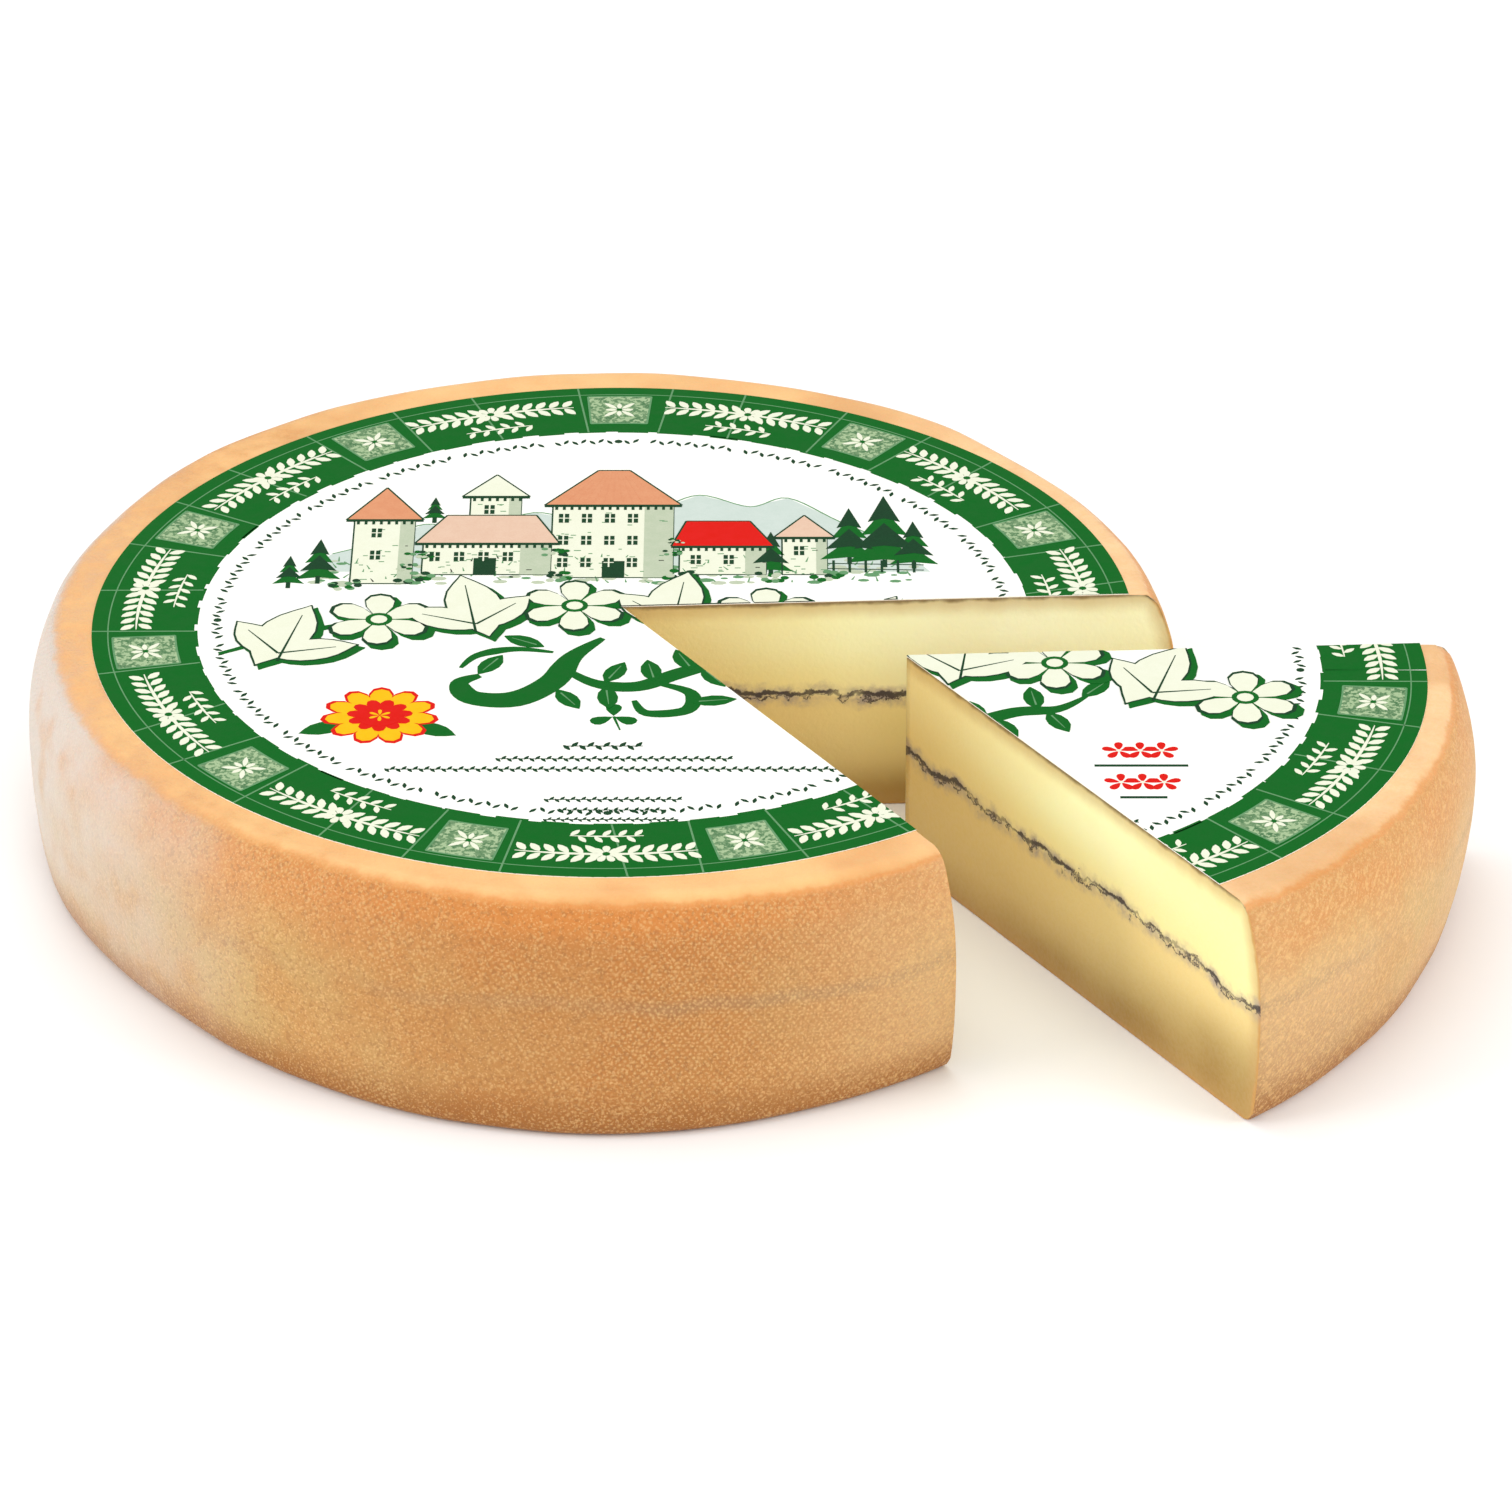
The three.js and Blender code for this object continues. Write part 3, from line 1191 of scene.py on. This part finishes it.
    def _flower(
        self, ink: Ink, level: int, at: Point, petals: int, size: Point, start: float = 90.0
    ) -> None:
        """Prints a flower's petals round a point."""
        for index in range(petals):
            turn = start + index * 360.0 / petals
            dx, dy = self.around(size[0] * 0.55, turn)
            self.sheet.stamp(ink, level, (at[0] + dx, at[1] + dy), size, turn, Mould.PETAL, 12)

    def _beads(self) -> None:
        """Prints the fine ring of slanting leaves inside the border, with a dot at each quarter."""
        quarter = self.bead_count // 4
        for index in range(self.bead_count):
            turn = index * 360.0 / self.bead_count
            if index % quarter == 0:
                self.sheet.stamp(Ink.MOSS, 0, self.around(self.bead_ring, turn), (2.6, 2.6), sides=8)
            elif index % self.bead_gap:
                side = 1 if index % 2 else -1
                at = self.around(self.bead_ring + side * 0.5, turn)
                self.sheet.stamp(Ink.MOSS, 0, at, (3.3, 1.4), turn + 90.0 + side * 58.0, Mould.LEAF, 8)

    def _hills(self) -> None:
        """Prints the far hills in pale ink, and the near meadow's few strokes."""
        sheet = self.sheet
        ridges = (
            [(-98, 32), (-88, 44), (-74, 52), (-60, 64), (-44, 60), (-26, 72), (-8, 66), (-8, 32)],
            [(-8, 32), (-8, 66), (12, 74), (26, 84), (42, 76), (54, 82), (70, 66), (88, 50), (98, 32)],
        )
        for ridge in ridges:
            sheet.panel(Ink.SKY, 0, ridge)
        sheet.stroke(Ink.LEAF, 1, ridges[0][1:-1] + ridges[1][2:-1], 0.5, smooth=True)
        draws = random.Random(self.seed + 1)
        for _ in range(150):
            x, y = draws.uniform(-94, 94), draws.uniform(24, 40)
            size = draws.uniform(2.0, 5.5)
            sheet.stamp(draws.choice((Ink.HAZE, Ink.HAZE, Ink.LEAF)), 1, (x, y), (size, size * 0.5), sides=7)
        for _ in range(120):
            x, y = draws.uniform(-94, 94), draws.uniform(24, 42)
            tip = (x + draws.uniform(-1.6, 1.6), y + draws.uniform(1.5, 3.4))
            sheet.stroke(Ink.LEAF, 2, [(x, y), tip], 0.6, 0.2)

    def _house(
        self, left: float, right: float, ground: float, eaves: float, roof: Ink, ridge: Sequence[Point]
    ) -> None:
        """Prints a house: walls, shaded end, roof with its eaves, and rows of windows."""
        sheet, wide = self.sheet, right - left
        side = right - 0.24 * wide
        sheet.block(Ink.CREAM, 2, (left, ground), (right, eaves), 0.5)
        sheet.block(Ink.HAZE, 3, (side, ground), (right, eaves))
        sheet.panel(roof, 4, [(left - 2.6, eaves - 1.0), (right + 2.6, eaves - 1.0), *ridge], 0.6)
        sheet.stroke(Ink.MOSS, 5, [(left - 2.6, eaves - 1.6), (right + 2.6, eaves - 1.6)], 1.3)
        for index in range(round(wide / 2.4)):
            x = left + 1.2 + index * 2.4
            sheet.stroke(Ink.MOSS, 5, [(x, eaves - 1.6), (x, eaves - 4.2)], 0.9)
        draws = random.Random(round(left))
        for _ in range(round(wide)):
            x, y = draws.uniform(left + 1, right - 1), draws.uniform(ground, eaves - 6)
            sheet.stroke(Ink.LEAF, 3, [(x, y), (x + draws.uniform(0.8, 2.2), y)], 0.5)
        count = max(1, round((wide - 6) / 9))
        for floor in range(max(1, int((eaves - ground - 5) / 15))):
            for index in range(count):
                x = left + (side - left) * (index + 0.5) / count
                y = eaves - 10.0 - floor * 15.0
                sheet.block(Ink.MOSS, 4, (x - 1.6, y - 3.0), (x + 1.6, y + 3.0))
                sheet.stroke(Ink.CREAM, 5, [(x, y - 3.0), (x, y + 3.0)], 0.5)
                sheet.stroke(Ink.CREAM, 5, [(x - 1.6, y), (x + 1.6, y)], 0.5)

    def _farm(self) -> None:
        """Prints the farm: barns, a tall house, a dovecote and a red-roofed shed."""
        self._house(-60, -20, 30, 52, Ink.PINK, [(-25, 70), (-53, 70)])
        self._house(-46, -30, 60, 84, Ink.CREAM, [(-38, 98)])
        self._house(20, 47, 30, 50, Ink.RED, [(42, 66), (22, 66)])
        self._house(-20, 18, 28, 78, Ink.SALMON, [(4, 101), (-6, 101)])
        self._house(-82, -63, 24, 68, Ink.SALMON, [(-72.5, 89)])
        self._house(52, 66, 30, 56, Ink.PINK, [(59, 70)])
        sheet = self.sheet
        sheet.block(Ink.MOSS, 4, (-44, 30), (-37, 41))
        sheet.block(Ink.MOSS, 4, (-4, 28), (3, 39))
        for x in range(-19, 18, 3):
            sheet.stroke(Ink.SALMON, 5, [(x, 79), (x * 0.28 - 0.5, 100)], 0.3)
        for y in (34.0, 37.5):
            sheet.stroke(Ink.MOSS, 3, [(66, y), (96, y - 1)], 0.5)
        for x in range(68, 97, 5):
            sheet.stroke(Ink.MOSS, 3, [(x, 31.5), (x, 39.5)], 0.8)

    def _firs(self) -> None:
        """Prints fir trees and round bushes among the houses."""
        sheet = self.sheet
        firs = (
            (-92, 27, 26), (-101, 24, 18), (73, 40, 34), (84, 38, 44), (93, 37, 28), (48.5, 32, 26),
            (-57, 68, 14),
        )
        for x, y, tall in firs:
            sheet.block(Ink.MOSS, 3, (x - 0.7, y - 3), (x + 0.7, y + 2))
            for index in range(4):
                low = y + tall * 0.21 * index
                wide = tall * (0.27 - 0.052 * index)
                corners = [(x - wide, low), (x, low + tall * 0.05), (x + wide, low), (x, low + tall * 0.4)]
                sheet.panel((Ink.GREEN, Ink.MOSS)[index % 2], 3 + index % 2, corners)
        draws = random.Random(self.seed + 2)
        bushes = (
            (-62, 27, 7), (-17, 27, 6), (20, 28, 7), (-61, 42, 5), (66, 28, 7), (49, 27, 6), (-84, 22, 6),
            (-19, 44, 5), (17, 44, 4), (-64, 34, 4), (19, 52, 3),
        )
        for x, y, size in bushes:
            for _ in range(12):
                at = (x + draws.uniform(-0.8, 0.8) * size, y + draws.uniform(-0.3, 0.7) * size)
                ink = draws.choice((Ink.GREEN, Ink.LEAF, Ink.HAZE, Ink.MOSS))
                sheet.stamp(ink, draws.choice((6, 7)), at, (size * 0.42, size * 0.36), sides=9)

    def _swag(self) -> None:
        """Prints the broad swag across the label: outlined cream leaves and flowers on one bough."""
        bough = [(-120, -22), (-88, -5), (-50, 5), (-8, 9), (30, 7), (68, -4), (100, -18), (118, -30)]
        self.sheet.stroke(Ink.GREEN, 5, bough, 1.6, 3.4, 3.4, 3.4, 1.6, smooth=True)
        spots = (
            (-102, -13, -22, 0), (-72, 0, 0, 1), (-42, 6, 14, 0), (-12, 9, 0, 1),
            (18, 8, -12, 0), (47, 4, 0, 1), (76, -6, -28, 0), (104, -18, 0, 1),
        )
        layers = ((Ink.GREEN, 8, 2.0, 1.8), (Ink.MOSS, 9, 0.0, 1.3), (Ink.CREAM, 10, 0.0, 0.0))
        for x, y, lean, blossom in spots:
            for ink, level, shift, grow in layers:
                at = (x + shift * 0.8, y - shift)
                if blossom:
                    self._flower(ink, level, at, 6, (15.0 + grow, 12.0 + grow), 30.0)
                else:
                    self._lobed_leaf(ink, level, at, lean, grow)
            if blossom:
                self.sheet.stamp(Ink.GREEN, 11, (x, y), (8.4, 8.4))
                self.sheet.stamp(Ink.CREAM, 12, (x, y), (5.2, 5.2), sides=12)
                continue
            for side, long in ((0, 17), (55, 18), (-55, 18)):
                dx, dy = self.around(long, 90 + lean + side)
                path = [(x, y - (9 if side else 14)), (x + dx, y + dy - (9 if side else 0))]
                self.sheet.stroke(Ink.MOSS, 11, path, 0.9, 0.3)

    def _lobed_leaf(self, ink: Ink, level: int, at: Point, lean: float, grow: float) -> None:
        """Prints a leaf of three lobes, larger by a margin, with its side lobes set low."""
        for side, size in ((55, (29, 13)), (-55, (29, 13)), (0, (41, 17))):
            turn = 90 + lean + side
            dx, dy = self.around(size[0] * 0.34 if side else 3.0, turn)
            spot = (at[0] + dx, at[1] + dy - (9 if side else 0))
            reach = (size[0] + grow * 1.5, size[1] + grow)
            self.sheet.stamp(ink, level, spot, reach, turn, Mould.LEAF, 22)

    def _sprig(self) -> None:
        """Prints the bold curling sprig under the swag."""
        sheet = self.sheet
        stems = (
            (
                [(-3, -12), (-12, -24), (-18, -40), (-29, -51), (-42, -50), (-46, -41), (-40, -36)],
                (2.0, 8.4, 9.6, 7.4, 2.4),
            ),
            (
                [(-16, -30), (-5, -41), (8, -43), (20, -35), (34, -27), (47, -25), (56, -17)],
                (2.0, 5.8, 6.4, 5.4, 1.2),
            ),
            ([(12, -40), (24, -47), (23, -58), (11, -60), (7, -52)], (1.6, 5.0, 4.4, 1.6)),
            ([(-18, -21), (-30, -19), (-41, -23), (-46, -31)], (1.2, 4.0, 1.2)),
        )
        for path, widths in stems:
            sheet.stroke(Ink.GREEN, 3, path, *widths, smooth=True)
        leaves = (
            (-27, -14, 150), (-37, -29, 240), (1, -34, 66), (12, -33, 100), (-1, -50, 275), (22, -26, 112),
            (31, -37, 300), (40, -18, 98), (47, -33, 296), (-13, -51, 300), (31, -52, 8), (59, -12, 52),
        )
        for x, y, turn in leaves:
            sheet.stamp(Ink.GREEN, 4, (x, y), (14.5, 6.4), turn, Mould.LEAF, 14)
            dx, dy = self.around(4.4, turn)
            sheet.stroke(Ink.LEAF, 5, [(x - dx, y - dy), (x + dx, y + dy)], 0.6, 0.2)

    def _marigold(self, at: Point) -> None:
        """Prints a yellow flower on two leaves."""
        for turn in (205, 332):
            dx, dy = self.around(18.0, turn)
            self.sheet.stamp(Ink.GREEN, 1, (at[0] + dx, at[1] + dy), (17, 7.5), turn, Mould.LEAF, 16)
        self._flower(Ink.RED, 2, at, 11, (17.2, 10.4))
        self._flower(Ink.YELLOW, 3, at, 11, (15.8, 9.2))
        self._flower(Ink.RED, 4, at, 11, (9.6, 5.8), 74.0)
        self.sheet.stamp(Ink.RED, 5, at, (13.6, 13.6), sides=22)
        self._flower(Ink.YELLOW, 6, at, 6, (3.4, 1.6))

    def _clover(self, at: Point, size: float) -> None:
        """Prints a small green clover."""
        self._flower(Ink.GREEN, 1, at, 3, (size * 1.5, size * 1.35))
        self.sheet.stroke(Ink.GREEN, 1, [at, (at[0] + size * 0.4, at[1] - size * 1.7)], 0.9, 0.5)

    def _rules(self) -> None:
        """Prints the dividers under the sprig: a short bold braid, two long fine ones and three small."""
        rows = (
            (-14, 10, -80.5, 4.6), (-34, 37, -88.4, 3.4), (-67, 69, -94.8, 3.4),
            (-19, 22, -113.4, 3.2), (-15, 17, -119.8, 3.0), (-19, 21, -125.6, 2.6),
        )
        for left, right, y, tall in rows:
            count = round((right - left) / (tall * 0.5))
            for index in range(count):
                side = 1 if index % 2 else -1
                at = (left + (right - left) * (index + 0.5) / count, y + side * tall * 0.2)
                size = (tall * 0.84, tall * 0.36)
                self.sheet.stamp(Ink.MOSS, 0, at, size, side * 58.0, Mould.LEAF, 8)
            self.sheet.stroke(Ink.MOSS, 0, [(left, y), (right, y)], 0.45)

    def _florets(self) -> None:
        """Prints two rows of three red florets, each row over a fine rule."""
        for y, half in ((-51.0, 14), (-70.5, 7)):
            for x in (64.6, 71.0, 77.4):
                self._flower(Ink.RED, 1, (x, y), 5, (5.0, 3.6))
                self.sheet.stamp(Ink.CREAM, 2, (x, y), (1.6, 1.6), sides=8)
            self.sheet.stroke(Ink.MOSS, 0, [(71 - half, y - 9.2), (71 + half, y - 9.2)], 1.4)


@dataclass(frozen=True)
class PaperFinish:
    """Thin glazed label paper, dried onto the cheese."""

    white: Colour = tone(253, 253, 249)
    shade: Colour = tone(246, 246, 236)

    def make(self, effects: Effects) -> Material:
        """Builds the material.

        Args:
            effects: The shared node groups.

        Returns:
            The paper's material.
        """
        surface = Surface("label_paper")
        paper = surface.effect(effects.fibre, {"Vector": surface.place(), "Cockle": 1.0})
        colour = surface.weaver.mix(paper["Shade"], self.white, self.shade)
        surface.dress(colour, paper["Gloss"], paper["Height"], 0.12 * MM, Specular_IOR_Level=0.4)
        return surface.material


@dataclass
class Label:
    """The paper label and its print, cut through with the cheese."""

    cut: Cut
    low: float
    high: float
    radius: float
    paper_sides: int = 384
    print_turn: float = math.radians(-3.045)
    ink_bite: float = 0.06 * MM
    ink_step: float = 0.025 * MM

    def build(
        self, share: Share, paper: Material, inks: dict[Ink, Material]
    ) -> list[bpy.types.Object]:
        """Builds one share's paper and inks.

        Args:
            share: Which one.
            paper: The paper's finish.
            inks: Each ink's finish.

        Returns:
            The pieces, the paper first.
        """
        disc = bmesh.new()
        bmesh.ops.create_circle(disc, cap_ends=True, segments=self.paper_sides, radius=self.radius)
        whole = bmesh.new()
        self._raise(disc, share, self.low, self.high, whole)
        pieces = [finish_mesh(f"{share.value}_label_paper", whole, [paper])]
        sheet = LabelArt(edge=self.radius / MM).draw()
        for ink in Ink:
            levels = sorted(level for held, level in sheet.plates if held is ink)
            printed = bmesh.new()
            for level in levels:
                plate = sheet.plates[(ink, level)]
                bmesh.ops.scale(plate, verts=plate.verts, vec=(MM, MM, MM))
                turn = Matrix.Rotation(self.print_turn, 3, "Z")
                bmesh.ops.rotate(plate, verts=plate.verts, cent=(0, 0, 0), matrix=turn)
                top = self.high + self.ink_step * (level + 1)
                self._raise(plate, share, self.high - self.ink_bite, top, printed)
            if printed.faces:
                pieces.append(finish_mesh(f"{share.value}_print_{ink.value}", printed, [inks[ink]]))
            else:
                printed.free()
        return pieces

    def _raise(self, flat: Mesh, share: Share, low: float, high: float, into: Mesh) -> None:
        """Cuts a flat drawing along the two cuts, keeps one share of it, and raises it into closed solids.

        Args:
            flat: The drawing, in metres, which is used up.
            share: Which side of the cuts to keep.
            low: The solids' bottom.
            high: Their top.
            into: The mesh that they are added to.
        """
        bmesh.ops.triangulate(flat, faces=flat.faces)
        for normal in self.cut.planes():
            geom = flat.verts[:] + flat.edges[:] + flat.faces[:]
            bmesh.ops.bisect_plane(flat, geom=geom, dist=1e-7, plane_co=self.cut.point, plane_no=normal)
        wanted = share is Share.WEDGE
        lost = [f for f in flat.faces if self.cut.holds(f.calc_center_median()) != wanted]
        bmesh.ops.delete(flat, geom=lost, context="FACES")
        bmesh.ops.dissolve_degenerate(flat, edges=flat.edges, dist=1e-6)
        bmesh.ops.translate(flat, verts=flat.verts, vec=self.cut.offset(share) + UP * low)
        if flat.faces:
            grown = bmesh.ops.extrude_face_region(flat, geom=flat.faces[:], use_keep_orig=True)["geom"]
            tops = [g for g in grown if isinstance(g, bmesh.types.BMVert)]
            bmesh.ops.translate(flat, verts=tops, vec=UP * (high - low))
            bmesh.ops.recalc_face_normals(flat, faces=flat.faces)
            held = bpy.data.meshes.new("held")
            flat.to_mesh(held)
            into.from_mesh(held)
            bpy.data.meshes.remove(held)
        flat.free()


# ---------------------------------------------------------------- the studio


@dataclass(frozen=True)
class SoftBox:
    """One square lamp aimed at a point."""

    name: str
    at: Triple
    aim: Triple
    size: float
    power: float

    def light(self) -> None:
        """Adds the lamp to the scene."""
        lamp = bpy.data.lights.new(self.name, "AREA")
        lamp.shape = "SQUARE"
        lamp.size, lamp.energy = self.size, self.power
        holder = bpy.data.objects.new(self.name, lamp)
        holder.location = self.at
        holder.rotation_euler = (Vector(self.aim) - Vector(self.at)).to_track_quat("-Z", "Y").to_euler()
        bpy.context.scene.collection.objects.link(holder)


@dataclass(frozen=True)
class Studio:
    """A plain pale floor, soft white light, and a long lens looking down on the cheese."""

    aim: Triple = (0.0462, 0.0424, 0.0)
    azimuth: float = 3.045
    elevation: float = 28.81
    distance: float = 2.84
    lens: float = 214.3
    sensor: float = 36.0
    ambient: float = 0.7
    boxes: tuple[SoftBox, ...] = (
        SoftBox("overhead", (-0.3, 0.5, 1.9), (0.0, 0.0, 0.0), 1.8, 12.0),
        SoftBox("left", (-1.9, -0.6, 0.8), (-0.05, 0.0, 0.04), 1.0, 16.0),
        SoftBox("right", (1.9, -0.8, 0.9), (0.1, 0.0, 0.04), 1.0, 16.0),
        SoftBox("front", (0.3, -2.2, 1.5), (0.05, 0.0, 0.03), 1.4, 10.0),
    )

    def build(self) -> None:
        """Builds the whole studio."""
        self._camera()
        for box in self.boxes:
            box.light()
        self._surroundings()
        self._floor()

    def _camera(self) -> None:
        """Adds the camera."""
        scene = bpy.context.scene
        azimuth, elevation = math.radians(self.azimuth), math.radians(self.elevation)
        level = math.cos(elevation)
        back = Vector((-math.sin(azimuth) * level, -math.cos(azimuth) * level, math.sin(elevation)))
        lens = bpy.data.cameras.new("camera")
        lens.lens, lens.sensor_width = self.lens, self.sensor
        lens.clip_end = 50.0
        camera = bpy.data.objects.new("camera", lens)
        camera.location = Vector(self.aim) + back * self.distance
        camera.rotation_euler = (-back).to_track_quat("-Z", "Y").to_euler()
        scene.collection.objects.link(camera)
        scene.camera = camera
        scene.view_settings.view_transform = "Standard"

    def _surroundings(self) -> None:
        """Sets the even white light all round."""
        world = bpy.data.worlds.new("studio")
        world.use_nodes = True
        sky = world.node_tree.nodes["Background"]
        sky.inputs["Color"].default_value = (1.0, 1.0, 1.0, 1.0)
        sky.inputs["Strength"].default_value = self.ambient
        bpy.context.scene.world = world

    def _floor(self) -> None:
        """Adds the floor, white and faintly grained."""
        bm = bmesh.new()
        bmesh.ops.create_grid(bm, x_segments=8, y_segments=8, size=6.0)
        mesh = bpy.data.meshes.new("floor")
        bm.to_mesh(mesh)
        bm.free()
        surface = Surface("floor")
        cloud = surface.weaver.noise(surface.place(), 3.0)
        colour = surface.weaver.mix(cloud, tone(254, 254, 254), tone(252, 252, 252))
        surface.dress(colour, surface.weaver.span(cloud, 0.0, 1.0, (0.7, 0.8)), cloud, 0.01 * MM)
        mesh.materials.append(surface.material)
        floor = bpy.data.objects.new("floor", mesh)
        bpy.context.scene.collection.objects.link(floor)


def main() -> None:
    """Builds the cheese, its label and the studio in order."""
    logging.basicConfig(level=logging.INFO, format="%(name)s: %(message)s")
    low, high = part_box("wheel")
    form = CheeseForm(radius=(high.y - low.y) / 2, height=high.z)
    wedge_low, wedge_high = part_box("wedge")
    drawn_out = Vector((wedge_low.x - NOTCH_POINT.x, wedge_high.y - NOTCH_POINT.y, 0.0))
    cut = Cut(NOTCH_POINT, CUT_ANGLE, drawn_out)
    paper_low, paper_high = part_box("wheel_label")
    label = Label(cut, paper_low.z, paper_high.z, (paper_high.y - paper_low.y) / 2)

    effects = Effects()
    rind = RindFinish().make(effects)
    paste = PasteFinish().make(effects)
    paper = PaperFinish().make(effects)
    inks = {ink: finish.make(f"ink_{ink.value}", effects) for ink, finish in INKS.items()}

    body = CheeseBody(form, cut)
    for share, slot in ((Share.WHEEL, "rind"), (Share.WEDGE, "paste")):
        cheese = body.build(share, rind, paste)
        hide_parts(share.value)
        pieces = label.build(share, paper, inks)
        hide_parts(f"{share.value}_label")
    Studio().build()


if __name__ == "__main__":
    main()
